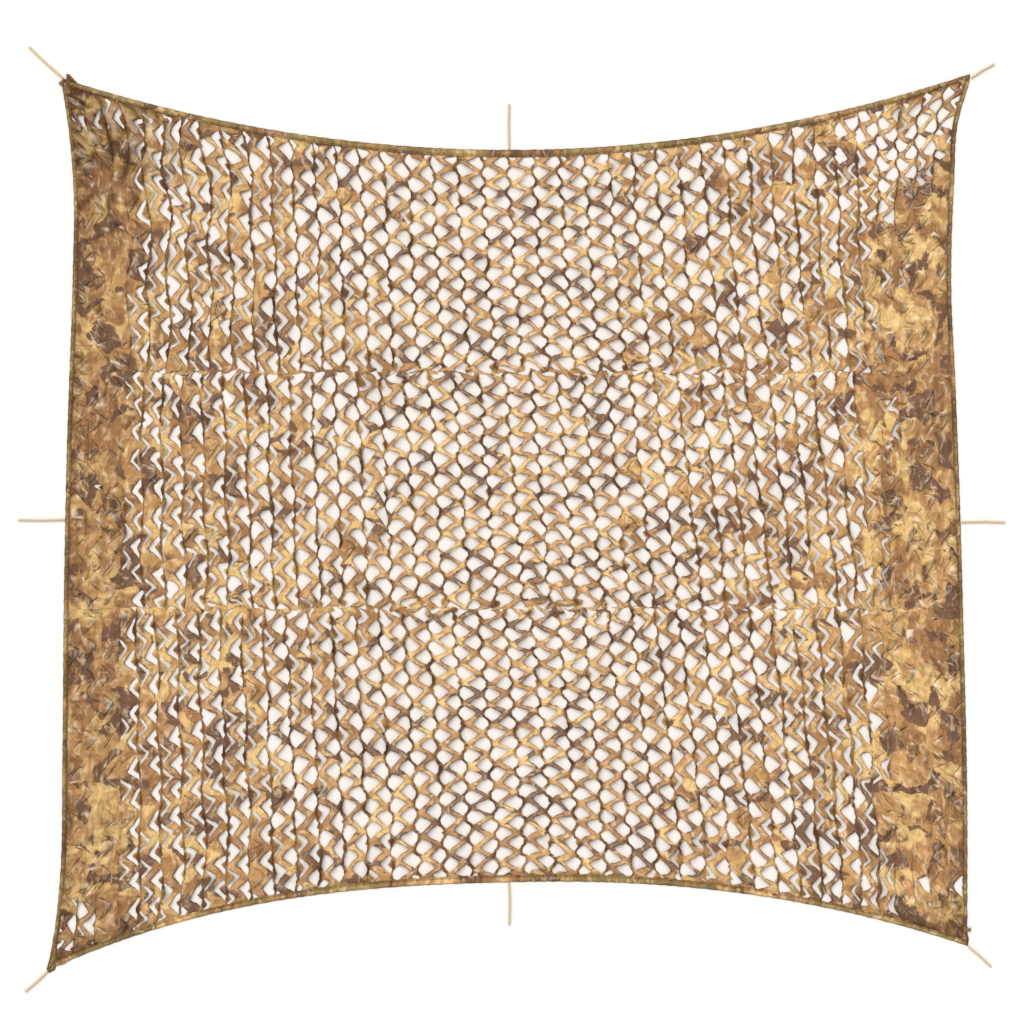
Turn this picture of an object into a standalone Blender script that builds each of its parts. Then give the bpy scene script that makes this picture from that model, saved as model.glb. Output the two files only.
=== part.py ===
"""A camouflage net laid out flat.

Three widths of slit cloth, pulled sideways until the slits open, are bound round the edge with a narrow tape.
A tie cord leaves each corner and the middle of each edge. X runs along the top edge, Y up the net, and the
floor is at Z = 0. The origin is under the middle of the cloth and its binding.
"""

import bmesh
import bpy
import numpy as np

# Sizes are in metres.

# Outer line of the binding: each long edge curves in between its two corners.
TOP_CORNERS = ((-1.4597, 1.464), (1.5233, 1.483))
BOTTOM_CORNERS = ((-1.5057, -1.467), (1.5173, -1.394))
TOP_SAG = 0.241
BOTTOM_SAG = 0.2475
TOP_CURVE = (2.0, 2.0)       # power of the curve, left half and right half
BOTTOM_CURVE = (2.6, 2.2)

# Outer line of the binding down each side: height Y of each station and how far out, in X, the edge lies there.
LEFT_SIDE = (
    (-1.470, -1.5187),
    (-1.312, -1.4924),
    (-1.176, -1.4792),
    (-0.780, -1.4710),
    (-0.252, -1.4660),
    (0.243, -1.4561),
    (0.837, -1.4363),
    (1.068, -1.4330),
    (1.305, -1.4508),
    (1.450, -1.4727),
)
RIGHT_SIDE = (
    (-1.400, 1.5139),
    (-1.242, 1.5143),
    (-0.912, 1.5139),
    (-0.318, 1.5007),
    (0.091, 1.4891),
    (0.474, 1.4743),
    (0.784, 1.4611),
    (1.134, 1.4710),
    (1.328, 1.4842),
    (1.450, 1.5193),
)

# The binding tape, folded over the cloth's edge. It is drawn narrower down the sides.
TAPE_THICK = 0.0035
LONG_TAPE_WIDE = 0.026
SIDE_TAPE_WIDE = 0.018
TAPE_STEPS = 76

# Free outlines of the long tapes at the four corners, each listed clockwise as X, Y.
TOP_LEFT_EARS = ((-1.4792, 1.4520), (-1.4669, 1.4669), (-1.4545, 1.4817))
TOP_RIGHT_POINT = ((1.5238, 1.4834), (1.5213, 1.4570))
BOTTOM_RIGHT_POINT = ((1.5198, -1.3680), (1.5172, -1.3943))
BOTTOM_LEFT_TAIL = ((-1.4859, -1.4438), (-1.4958, -1.4735), (-1.5156, -1.4835), (-1.5238, -1.4702))

# How far in X the curved outer line of a long tape starts from a corner's free outline.
TOP_RUN_IN = (0.012, 0.030)       # left corner, right corner
BOTTOM_RUN_IN = (0.012, 0.026)

# Heights Y where the outer line passes from a side tape to the long tapes: top, bottom.
LEFT_TAPE_ENDS = (1.4275, -1.3940)
RIGHT_TAPE_ENDS = (1.4240, -1.3480)

# The cloth. A pair of facing slits repeats at even steps down a width and opens between two chains of cloth.
CLOTH_THICK = 0.002
SEAM_UPPER = 0.500           # height Y of the seam between the upper and the middle width
SEAM_LOWER = -0.279
CHAIN_WIDE = 0.014
RIBBON_WIDE = 0.066
GAPS = 9                     # open columns between chains
FIELD = (0.262, 0.814)       # where the open columns start and end, as shares of the net's breadth
TOUCH = 0.13                 # share of a pitch, either side of a joint, where a ribbon is one with its chain
EDGE_STRIP = 0.030           # plain cloth next to the binding
SEAM_STRIP = 0.012           # plain cloth next to a seam
EDGE_STEP = 0.045            # longest step of the cloth's outline along a curved binding
LEAN = 0.052                 # sideways lean of the chains down one width, as a share of the breadth
LEAN_POWER = 8               # how late the lean dies out towards the right edge
FIELD_MARGIN = 0.03          # share of the breadth beside the field whose rows of points are kept

# Gathered cloth down the two sides: how wide it is, as a share of the breadth, and its columns of faces.
GATHER_LEFT = (0.062, 3)
GATHER_RIGHT = (0.900, 4)
FOLD_HEIGHT = 0.012
FOLD_LENGTH = 0.31           # from one crest to the next, down the net
LEFT_FOLDS = (0.60, 0.40, 1.00, 60)     # mean and swing of the height, crests in a FOLD_LENGTH, slant
RIGHT_FOLDS = (0.55, 0.45, 0.83, -70)

# The tie cords: start at the binding and free cut end, as X, Y.
CORD_THICK = 0.008
CORDS = {
    "cord_top_left": ((-1.4677, 1.4676), (-1.5815, 1.5725)),
    "cord_top": ((0.0023, 1.2333), (0.0023, 1.3844)),
    "cord_top_right": ((1.5254, 1.4695), (1.6028, 1.5164)),
    "cord_right": ((1.4925, 0.0050), (1.6393, 0.0045)),
    "cord_bottom_right": ((1.5178, -1.3949), (1.5929, -1.4619)),
    "cord_bottom": ((0.0023, -1.1836), (0.0028, -1.3246)),
    "cord_bottom_left": ((-1.5205, -1.4777), (-1.5947, -1.5444)),
    "cord_left": ((-1.4615, 0.0130), (-1.6178, 0.0120)),
}
CORD_BOW = 0.0015            # how far a cord's middle lies off the straight line
CORD_STEP = 2.5              # from one point of a cord to the next, in diameters

JOIN_GAP = 0.0006            # between the cloth and its binding
SEAM_GAP = 0.0003            # between two widths of cloth

SETTLE_ROUNDS = 12           # rounds in which a point that depends on two curves settles
MERGE_DISTANCE = 1e-6        # points of the cloth nearer than this are one
FLAT_ANGLE = 0.002           # radians; faces within it of each other are one flat face

# Colour, roughness and metallic value of each material.
FINISHES = {
    "printed_net_cloth": ((0.42, 0.25, 0.12), 0.85, 0.0),
    "printed_binding_tape": ((0.17, 0.12, 0.05), 0.80, 0.0),
    "twisted_cord": ((0.62, 0.46, 0.26), 0.75, 0.0),
}


def clear_scene():
    for obj in list(bpy.data.objects):
        bpy.data.objects.remove(obj)


def finish(name):
    material = bpy.data.materials.get(name) or bpy.data.materials.new(name)
    colour, roughness, metallic = FINISHES[name]
    material.use_nodes = True
    shader = material.node_tree.nodes["Principled BSDF"]
    shader.inputs["Base Color"].default_value = (*colour, 1.0)
    shader.inputs["Roughness"].default_value = roughness
    shader.inputs["Metallic"].default_value = metallic
    return material


def long_edge(x, corners, sag, curve):
    """Y of a long edge at x: its two corners' straight line, moved in by sag at the middle."""
    (left_x, left_y), (right_x, right_y) = corners
    across = (x - left_x) / (right_x - left_x)
    off_middle = 2 * across - 1
    power = np.where(off_middle < 0, curve[0], curve[1])
    return left_y + across * (right_y - left_y) + sag * (1 - np.abs(off_middle) ** power)


def top_outer(x):
    return long_edge(x, TOP_CORNERS, -TOP_SAG, TOP_CURVE)


def bottom_outer(x):
    return long_edge(x, BOTTOM_CORNERS, BOTTOM_SAG, BOTTOM_CURVE)


def side_edge(y, stations):
    """X of a side edge at y: a smooth curve through the stations, straight beyond the first and the last."""
    heights, reaches = np.array(stations).T
    slopes = np.gradient(reaches, heights)
    inside = np.clip(y, heights[0], heights[-1])
    span = np.clip(np.searchsorted(heights, inside) - 1, 0, len(heights) - 2)
    length = heights[span + 1] - heights[span]
    t = (inside - heights[span]) / length
    start = reaches[span] * (1 + 2 * t) * (1 - t) ** 2 + slopes[span] * length * t * (1 - t) ** 2
    end = reaches[span + 1] * t**2 * (3 - 2 * t) - slopes[span + 1] * length * t**2 * (1 - t)
    beyond = (y - inside) * np.where(y < inside, slopes[0], slopes[-1])
    return start + end + beyond


def left_outer(y):
    return side_edge(y, LEFT_SIDE)


def right_outer(y):
    return side_edge(y, RIGHT_SIDE)


def inner_corner(side, side_inset, edge, edge_inset):
    """The point where the inner line of a side tape meets the inner line of a long tape."""
    x, y = 0.0, 0.0
    for _ in range(SETTLE_ROUNDS):
        y = edge(x) + edge_inset
        x = side(y) + side_inset
    return float(x), float(y)


def flat_piece(name, outline, thickness, material):
    """A flat sheet of even thickness on the floor, from its outline."""
    curve = bpy.data.curves.new(name, "CURVE")
    curve.dimensions = "2D"
    curve.fill_mode = "BOTH"
    curve.extrude = thickness / 2
    spline = curve.splines.new("POLY")
    spline.points.add(len(outline) - 1)
    for point, (x, y) in zip(spline.points, outline):
        point.co = (x, y, 0.0, 1.0)
    spline.use_cyclic_u = True
    piece = bpy.data.objects.new(name, curve)
    piece.location.z = thickness / 2
    curve.materials.append(material)
    return piece


def long_tapes(material):
    """The top and bottom tapes. Each runs the full breadth and holds the shapes of its two corners."""
    top_left = inner_corner(left_outer, SIDE_TAPE_WIDE, top_outer, -LONG_TAPE_WIDE)
    top_right = inner_corner(right_outer, -SIDE_TAPE_WIDE, top_outer, -LONG_TAPE_WIDE)
    bottom_left = inner_corner(left_outer, SIDE_TAPE_WIDE, bottom_outer, LONG_TAPE_WIDE)
    bottom_right = inner_corner(right_outer, -SIDE_TAPE_WIDE, bottom_outer, LONG_TAPE_WIDE)

    outer = np.linspace(
        TOP_LEFT_EARS[-1][0] + TOP_RUN_IN[0], TOP_RIGHT_POINT[0][0] - TOP_RUN_IN[1], TAPE_STEPS,
    )
    inner = np.linspace(top_right[0], top_left[0], TAPE_STEPS)
    top_outline = [
        (left_outer(LEFT_TAPE_ENDS[0]), LEFT_TAPE_ENDS[0]),
        *TOP_LEFT_EARS,
        *zip(outer, top_outer(outer)),
        *TOP_RIGHT_POINT,
        (right_outer(RIGHT_TAPE_ENDS[0]), RIGHT_TAPE_ENDS[0]),
        *zip(inner, top_outer(inner) - LONG_TAPE_WIDE),
    ]

    outer = np.linspace(
        BOTTOM_RIGHT_POINT[-1][0] - BOTTOM_RUN_IN[1], BOTTOM_LEFT_TAIL[0][0] + BOTTOM_RUN_IN[0], TAPE_STEPS,
    )
    inner = np.linspace(bottom_left[0], bottom_right[0], TAPE_STEPS)
    bottom_outline = [
        (right_outer(RIGHT_TAPE_ENDS[1]), RIGHT_TAPE_ENDS[1]),
        *BOTTOM_RIGHT_POINT,
        *zip(outer, bottom_outer(outer)),
        *BOTTOM_LEFT_TAIL,
        (left_outer(LEFT_TAPE_ENDS[1]), LEFT_TAPE_ENDS[1]),
        *zip(inner, bottom_outer(inner) + LONG_TAPE_WIDE),
    ]
    return [
        flat_piece("binding_top", top_outline, TAPE_THICK, material),
        flat_piece("binding_bottom", bottom_outline, TAPE_THICK, material),
    ]


def side_tape(name, outer_line, inset, top, bottom, material):
    """A side tape. Its ends butt against the long tapes: top and bottom give its end heights, outer then inner."""
    outer = np.linspace(top[0] - JOIN_GAP, bottom[0] + JOIN_GAP, TAPE_STEPS)
    inner = np.linspace(bottom[1] + JOIN_GAP, top[1] - JOIN_GAP, TAPE_STEPS)
    outline = list(zip(outer_line(outer), outer)) + list(zip(outer_line(inner) + inset, inner))
    return flat_piece(name, outline, TAPE_THICK, material)


def side_tapes(material):
    left_top = inner_corner(left_outer, SIDE_TAPE_WIDE, top_outer, -LONG_TAPE_WIDE)
    left_bottom = inner_corner(left_outer, SIDE_TAPE_WIDE, bottom_outer, LONG_TAPE_WIDE)
    right_top = inner_corner(right_outer, -SIDE_TAPE_WIDE, top_outer, -LONG_TAPE_WIDE)
    right_bottom = inner_corner(right_outer, -SIDE_TAPE_WIDE, bottom_outer, LONG_TAPE_WIDE)
    return [
        side_tape(
            "binding_left", left_outer, SIDE_TAPE_WIDE,
            (LEFT_TAPE_ENDS[0], left_top[1]), (LEFT_TAPE_ENDS[1], left_bottom[1]), material,
        ),
        side_tape(
            "binding_right", right_outer, -SIDE_TAPE_WIDE,
            (RIGHT_TAPE_ENDS[0], right_top[1]), (RIGHT_TAPE_ENDS[1], right_bottom[1]), material,
        ),
    ]


def cloth_left(y):
    return left_outer(y) + SIDE_TAPE_WIDE + JOIN_GAP


def cloth_right(y):
    return right_outer(y) - SIDE_TAPE_WIDE - JOIN_GAP


def place(across, down, upper, lower):
    """X and Y of a point that lies that share of the way across the net and down one width of cloth."""
    share = across + LEAN * across * (1 - across**LEAN_POWER) * (down - 0.5)
    y = np.zeros_like(share)
    for _ in range(SETTLE_ROUNDS):
        x = cloth_left(y) + share * (cloth_right(y) - cloth_left(y))
        y = upper(x) + down * (lower(x) - upper(x))
    return x, y


def gathers(across, y):
    """Height of the gathered cloth: soft folds down each side, flat at the binding and in the open middle."""
    left = np.sin(np.pi * np.clip(across / GATHER_LEFT[0], 0, 1))
    right = np.sin(np.pi * np.clip((across - GATHER_RIGHT[0]) / (1 - GATHER_RIGHT[0]), 0, 1))

    def folds(mean, swing, crests, slant):
        return mean + swing * np.sin(2 * np.pi * crests * y / FOLD_LENGTH + slant * across)

    return FOLD_HEIGHT * (left * folds(*LEFT_FOLDS) + right * folds(*RIGHT_FOLDS))


def columns(breadth):
    """Columns of points across one width, as (left share, right share) pairs.

    A point stands at its left share on the rows where the ribbons lie on the chain to their left, and at its
    right share on the rows where they lie on the chain to their right.
    """
    half_chain = CHAIN_WIDE / 2 / breadth
    ribbon = RIBBON_WIDE / breadth
    chains = np.linspace(FIELD[0], FIELD[1], GAPS + 1)
    plain = [*np.linspace(0, GATHER_LEFT[0], GATHER_LEFT[1] + 1), 0.5 * (GATHER_LEFT[0] + FIELD[0])]
    points = [(share, share) for share in plain]
    for chain, following in zip(chains, [*chains[1:], None]):
        points += [(chain - half_chain,) * 2, (chain + half_chain,) * 2]
        if following is None:
            continue
        start, end = chain + half_chain, following - half_chain
        points += [(start, end - ribbon), (start + ribbon, end)]
    plain = [0.5 * (FIELD[1] + GATHER_RIGHT[0]), *np.linspace(GATHER_RIGHT[0], 1, GATHER_RIGHT[1] + 1)]
    return np.array(points + [(share, share) for share in plain])


def rows(pitches, upper_strip, lower_strip):
    """Rows of points down one width: share of the way down, and True where the ribbons lie to their right."""
    pitch = (1 - upper_strip - lower_strip) / pitches
    downs, to_right = [0.0, upper_strip], [False, False]
    for number in range(pitches):
        middle = upper_strip + (number + 0.5) * pitch
        offsets = (-0.5 + TOUCH, -TOUCH, TOUCH, 0.5 - TOUCH)
        downs += [middle + offset * pitch for offset in offsets]
        to_right += [False, True, True, False]
    return np.array([*downs, 1 - lower_strip, 1.0]), np.array([*to_right, False, False])


def net_width(name, upper, lower, pitches, strips, material):
    """One width of slit cloth between the lines upper and lower, with its opened slits cut through."""
    height = upper(0.0) - lower(0.0)
    points = columns(float(cloth_right(0.0) - cloth_left(0.0)))
    downs, to_right = rows(pitches, strips[0] / height, strips[1] / height)
    across = np.where(to_right[:, None], points[:, 1], points[:, 0])
    x, y = place(across, np.broadcast_to(downs[:, None], across.shape), upper, lower)
    z = gathers(across, y)

    grid = bmesh.new()
    bmesh.ops.create_grid(grid, x_segments=len(points) - 1, y_segments=len(downs) - 1, size=1)
    corners = sorted(grid.verts, key=lambda vert: (-round(vert.co.y, 5), round(vert.co.x, 5)))
    cell = {}
    for number, vert in enumerate(corners):
        row, column = divmod(number, len(points))
        cell[vert] = (row, column)
        vert.co = (x[row, column], y[row, column], z[row, column])

    # A gap's three columns of faces are the slits that open to the right, the ribbon, and those to the left.
    # The grid has the gathered and plain columns of faces first, then the first chain.
    first = GATHER_LEFT[1] + 3
    ribbon_ends = np.flatnonzero(to_right)
    cut = []
    for face in grid.faces:
        row = min(cell[vert][0] for vert in face.verts)
        column = min(cell[vert][1] for vert in face.verts) - first
        if not 0 <= column < 4 * GAPS:
            continue
        opens_left = column % 4 == 2 and ribbon_ends[0] <= row < ribbon_ends[-1]
        if column % 4 == 0 or opens_left:
            cut.append(face)
    bmesh.ops.delete(grid, geom=cut, context="FACES")
    follow_line(grid, {vert for vert in cell if cell[vert][0] == 0}, upper)
    follow_line(grid, {vert for vert in cell if cell[vert][0] == len(downs) - 1}, lower)
    bmesh.ops.remove_doubles(grid, verts=grid.verts, dist=MERGE_DISTANCE)
    bmesh.ops.dissolve_limit(
        grid, angle_limit=FLAT_ANGLE, verts=[], edges=plain_edges(grid), use_dissolve_boundaries=False,
    )
    bmesh.ops.recalc_face_normals(grid, faces=grid.faces)
    if sum(face.normal.z for face in grid.faces) < 0:
        bmesh.ops.reverse_faces(grid, faces=grid.faces)

    mesh = bpy.data.meshes.new(name)
    grid.to_mesh(mesh)
    grid.free()
    mesh.materials.append(material)
    piece = bpy.data.objects.new(name, mesh)
    cloth = piece.modifiers.new("cloth thickness", "SOLIDIFY")
    cloth.thickness = CLOTH_THICK
    cloth.offset = 1.0
    return piece


def follow_line(grid, row, line):
    """Splits the long edges of an outer row of points, so that it follows its line as closely as the tape does."""
    for edge in [edge for edge in grid.edges if row.issuperset(edge.verts)]:
        start, end = (vert.co.copy() for vert in edge.verts)
        vert, parts = edge.verts[0], round((end - start).length / EDGE_STEP)
        for number in range(1, parts):
            edge, vert = bmesh.utils.edge_split(edge, vert, 1 / (parts - number + 1))
            vert.co = start.lerp(end, number / parts)
            vert.co.y = float(line(np.array([vert.co.x]))[0])
            edge = next(link for link in vert.link_edges if link is not edge)


def plain_edges(grid):
    """Edges of the flat cloth between the gathers and the open field, which need no rows of their own."""
    edges = []
    for edge in grid.edges:
        middle = (edge.verts[0].co + edge.verts[1].co) / 2
        start, end = cloth_left(middle.y), cloth_right(middle.y)
        share = (middle.x - start) / (end - start)
        left_of_field = GATHER_LEFT[0] < share < FIELD[0] - FIELD_MARGIN
        right_of_field = FIELD[1] + FIELD_MARGIN < share < GATHER_RIGHT[0]
        if left_of_field or right_of_field:
            edges.append(edge)
    return edges


def net_widths(material):
    def level(y):
        return lambda x: np.full_like(x, y, dtype=float)

    def under_top_tape(x):
        return top_outer(x) - LONG_TAPE_WIDE - JOIN_GAP

    def over_bottom_tape(x):
        return bottom_outer(x) + LONG_TAPE_WIDE + JOIN_GAP

    half_seam = SEAM_GAP / 2
    return [
        net_width(
            "net_upper_width", under_top_tape, level(SEAM_UPPER + half_seam), 5,
            (EDGE_STRIP, SEAM_STRIP), material,
        ),
        net_width(
            "net_middle_width", level(SEAM_UPPER - half_seam), level(SEAM_LOWER + half_seam), 6,
            (SEAM_STRIP, SEAM_STRIP), material,
        ),
        net_width(
            "net_lower_width", level(SEAM_LOWER - half_seam), over_bottom_tape, 6,
            (SEAM_STRIP, EDGE_STRIP), material,
        ),
    ]


def tie_cord(name, start, end, material):
    """A cord that lies on the floor from the binding to its cut end, with a slight bow."""
    start, end = np.array(start), np.array(end)
    along = end - start
    aside = np.array((-along[1], along[0])) / np.hypot(*along)
    steps = round(np.hypot(*along) / (CORD_STEP * CORD_THICK))
    curve = bpy.data.curves.new(name, "CURVE")
    curve.dimensions = "3D"
    curve.bevel_depth = CORD_THICK / 2
    curve.bevel_resolution = 2
    curve.use_fill_caps = True
    spline = curve.splines.new("POLY")
    spline.points.add(steps)
    for number, point in enumerate(spline.points):
        share = number / steps
        bow = CORD_BOW * np.sin(np.pi * share) ** 2
        x, y = start + share * along + bow * aside
        point.co = (x, y, CORD_THICK / 2, 1.0)
    curve.materials.append(material)
    return bpy.data.objects.new(name, curve)


def build():
    clear_scene()
    collection = bpy.data.collections.new("camouflage_net")
    bpy.context.scene.collection.children.link(collection)
    pieces = net_widths(finish("printed_net_cloth"))
    pieces += long_tapes(finish("printed_binding_tape"))
    pieces += side_tapes(finish("printed_binding_tape"))
    for name, (start, end) in CORDS.items():
        pieces.append(tie_cord(name, start, end, finish("twisted_cord")))
    for piece in pieces:
        collection.objects.link(piece)


build()
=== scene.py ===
"""A camouflage net laid out flat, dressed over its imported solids.

Lengths are in metres. X runs along the top edge, Y up the net, and the floor is at Z = 0.
"""

from types import SimpleNamespace

import bmesh
import bpy
import numpy as np
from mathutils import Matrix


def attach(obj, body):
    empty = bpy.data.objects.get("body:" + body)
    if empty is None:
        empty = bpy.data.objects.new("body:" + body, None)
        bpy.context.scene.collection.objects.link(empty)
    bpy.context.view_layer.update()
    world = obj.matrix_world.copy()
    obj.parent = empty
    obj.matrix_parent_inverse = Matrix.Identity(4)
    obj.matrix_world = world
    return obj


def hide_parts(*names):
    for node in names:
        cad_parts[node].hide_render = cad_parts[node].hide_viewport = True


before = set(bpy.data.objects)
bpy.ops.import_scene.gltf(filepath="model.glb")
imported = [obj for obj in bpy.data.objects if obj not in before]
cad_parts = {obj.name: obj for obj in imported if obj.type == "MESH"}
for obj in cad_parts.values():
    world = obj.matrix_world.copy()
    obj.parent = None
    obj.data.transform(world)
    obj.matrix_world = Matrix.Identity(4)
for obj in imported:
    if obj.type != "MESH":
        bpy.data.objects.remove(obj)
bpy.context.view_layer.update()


# ------------------------------------------------------------------------------------------------
# Net cloth, three widths. Thin camouflage-printed woven cloth, cut all over with rows of curved slits and
# pulled sideways, so that zigzag ribbons run between upright chains and the cut tongues curl at the chains.
# Each width just laps the next, where they are overcast, and the outer edges are held in the binding.

# Outer line of the binding. Each long edge curves in between its two corners.
TOP_CORNERS = ((-1.4597, 1.464), (1.5233, 1.483))
BOTTOM_CORNERS = ((-1.5057, -1.467), (1.5173, -1.394))
TOP_SAG, TOP_CURVE = -0.241, (2.0, 2.0)
BOTTOM_SAG, BOTTOM_CURVE = 0.2475, (2.6, 2.2)
LEFT_SIDE = (    # height Y, outer edge X
    (-1.470, -1.5187), (-1.312, -1.4924), (-1.176, -1.4792), (-0.780, -1.4710), (-0.252, -1.4660),
    (0.243, -1.4561), (0.837, -1.4363), (1.068, -1.4330), (1.305, -1.4508), (1.450, -1.4727),
)
RIGHT_SIDE = (
    (-1.400, 1.5139), (-1.242, 1.5143), (-0.912, 1.5139), (-0.318, 1.5007), (0.091, 1.4891),
    (0.474, 1.4743), (0.784, 1.4611), (1.134, 1.4710), (1.328, 1.4842), (1.450, 1.5193),
)
LONG_TAPE_WIDE = 0.0245  # at its middle
SIDE_TAPE_WIDE = 0.0155
HELD_IN = 0.010          # from the binding's outer line to the edge of the cloth inside it
TAPE_MIDDLE = 0.0017     # height of the cloth inside the binding

SEAM_UPPER = 0.500       # height Y of the seam between the upper and the middle width
SEAM_LOWER = -0.279
LAP = 0.0012             # how far each width runs past a seam
EDGE_BAND = 0.0016       # whole strip along the edge of a width, where a slit is cut off

# The lattice of cuts across the net: X, chain spacing, row pitch, lean of the chains to the right for each
# metre down, share of the slits that are pulled wide open, opening of the others, how far the cut tongues
# curl up (radians), height of the ribbons' crown, height of the creases, and shade in the gathers.
LATTICE = np.array((
    (-1.45, 0.058, 0.094, 0.00, 0.00, 0.00, 0.30, 0.001, 0.0046, 0.18),
    (-1.34, 0.060, 0.094, 0.00, 0.00, 0.08, 0.30, 0.001, 0.0046, 0.16),
    (-1.24, 0.064, 0.093, 0.02, 0.04, 0.23, 0.25, 0.002, 0.0032, 0.13),
    (-1.15, 0.069, 0.092, 0.03, 0.10, 0.29, 0.30, 0.004, 0.0022, 0.08),
    (-0.95, 0.073, 0.089, 0.04, 0.11, 0.29, 0.40, 0.006, 0.0020, 0.05),
    (-0.65, 0.076, 0.085, 0.05, 0.46, 0.43, 0.55, 0.008, 0.0018, 0.04),
    (-0.36, 0.0825, 0.076, 0.06, 0.82, 0.46, 1.10, 0.010, 0.0016, 0.01),
    (-0.16, 0.086, 0.069, 0.07, 0.89, 0.50, 1.80, 0.011, 0.0014, 0.00),
    (0.04, 0.089, 0.0645, 0.08, 0.91, 0.50, 2.20, 0.011, 0.0014, 0.00),
    (0.24, 0.086, 0.066, 0.08, 0.89, 0.50, 1.80, 0.011, 0.0014, 0.00),
    (0.44, 0.081, 0.0725, 0.09, 0.75, 0.46, 1.30, 0.010, 0.0016, 0.00),
    (0.63, 0.079, 0.079, 0.10, 0.50, 0.44, 0.90, 0.008, 0.0018, 0.00),
    (0.83, 0.076, 0.081, 0.10, 0.47, 0.43, 0.55, 0.008, 0.0020, 0.00),
    (1.03, 0.071, 0.0875, 0.09, 0.32, 0.39, 0.38, 0.006, 0.0022, 0.00),
    (1.16, 0.066, 0.091, 0.07, 0.18, 0.29, 0.30, 0.004, 0.0030, 0.00),
    (1.26, 0.062, 0.092, 0.04, 0.07, 0.14, 0.30, 0.001, 0.0042, 0.00),
    (1.46, 0.058, 0.094, 0.00, 0.03, 0.08, 0.30, 0.001, 0.0044, 0.00),
))
X_COLUMN, SPACING, PITCH, LEAN, WIDE_OPEN, PART_OPEN, CURL, CROWN, CREASE, SHADE = range(10)
# Places where the corners' pull opens the closed cloth: X, Y, radius, share of the slits wide open, and the
# opening of the others.
PULLED_OPEN = (
    (1.10, 1.15, 0.22, 0.62, 0.42), (1.28, 1.24, 0.18, 0.90, 0.50), (1.42, 1.33, 0.15, 0.95, 0.60),
    (1.48, 1.42, 0.09, 0.95, 0.60), (1.17, 1.28, 0.16, 0.80, 0.50), (1.22, 1.08, 0.13, 0.60, 0.45),
    (-1.42, -1.31, 0.13, 0.22, 0.26), (-1.475, -1.40, 0.03, 0.60, 0.45), (-1.45, -1.33, 0.05, 0.35, 0.42),
    (1.38, -1.17, 0.12, 0.35, 0.20), (-1.41, 1.33, 0.05, 0.14, 0.30), (-1.30, 1.35, 0.08, 0.16, 0.29),
    (-1.20, 1.26, 0.13, 0.20, 0.29), (-1.334, 0.325, 0.03, 0.10, 0.42), (-1.384, 0.203, 0.03, 0.12, 0.42),
    (-1.341, 0.12, 0.03, 0.10, 0.42), (-1.341, 0.03, 0.03, 0.10, 0.42),
)
# Corners of the cloth with the folds that run in from them: X, Y, their reach and height.
CORNER_FOLDS = ((-1.46, 1.46, 0.60, 0.0075), (1.52, 1.47, 0.30, 0.0035), (1.51, -1.38, 0.30, 0.0035),
                (-1.50, -1.46, 0.35, 0.0040))

ROW_PARTS = (0.0, 0.08, 0.16, 0.25, 0.33, 0.405)     # rows of points in half a pitch
ROOT = 0.405             # half the height of a hole at its chain, as a share of the pitch
DEPTH = 0.668            # how far a hole reaches across, as a share of the chain spacing
HOLE_END = 0.13          # how far in from its chain a hole's two ends lie, as a share of its depth
CHAIN_HALF = 0.021       # half a chain's breadth, as a share of the spacing
WIGGLE = 0.066           # how far the ribbons pull a chain to and fro, as a share of the spacing
CLOTH_THICK = 0.0008
FLAT_SPACING = 0.058     # between chains before the cloth was pulled open
FLAT_PITCH = 0.090
LOW = 0.0018             # height of the chains over the floor
FULL_HEIGHT = 0.014      # above it, heights grow half as fast
RIBBON_PARTS = (0.0, 0.24, 0.76, 1.0)         # points across a ribbon
RIBBON_TILT = (0.0022, 0.0016)                # two waves by which the ribbons tilt
RIBBON_BEND = 0.0014     # how far a ribbon's edges hang below its middle
CUT_LIFT = 0.0008        # how far the edge of a closed slit stands up
FULL_CREASE = 0.0036     # height of a crease that is shaded in full
FULL_FOLD = 0.004
SEAM_PULL = 0.050        # how far from a seam the slits are drawn in
AT_HEM = (0.002, 0.024)  # distances from an edge between which the cloth rises from it
SAME_POINT = 2e-5
CUT_END = 0.0014         # points this near to an edge of the width are on its cut end
# Painted shade: how much darker the cloth is painted in a corner, in the valley of a crease, at a hem and
# in a fold at a corner. Painted highlights: how much paler it is painted on a crease, on a fold, at a closed
# slit, at a part-open tongue and in the middle of a ribbon beside open holes.
CORNER_SHADE, VALLEY_SHADE, HEM_SHADE, FOLD_SHADE = 0.28, 0.22, 0.24, 0.48
CREASE_HIGHLIGHT, FOLD_HIGHLIGHT, SLIT_HIGHLIGHT, TONGUE_HIGHLIGHT, RIBBON_HIGHLIGHT = 0.70, 0.30, 0.60, 0.45, 0.35

# Gathered cloth down the two sides, with the folds of the solids.
GATHER_LEFT = 0.062      # share of the breadth
GATHER_RIGHT = 0.900
FOLD_HEIGHT = 0.012
FOLD_LENGTH = 0.31
LEFT_FOLDS = (0.60, 0.40, 1.00, 60)     # mean and swing of the height, crests in a FOLD_LENGTH, slant
RIGHT_FOLDS = (0.55, 0.45, 0.83, -70)


def long_edge(x, corners, sag, curve):
    """Y of a long edge at x: its two corners' straight line, moved by sag at the middle."""
    (left_x, left_y), (right_x, right_y) = corners
    across = (x - left_x) / (right_x - left_x)
    off_middle = 2 * across - 1
    power = np.where(off_middle < 0, curve[0], curve[1])
    return left_y + across * (right_y - left_y) + sag * (1 - np.abs(off_middle) ** power)


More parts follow.
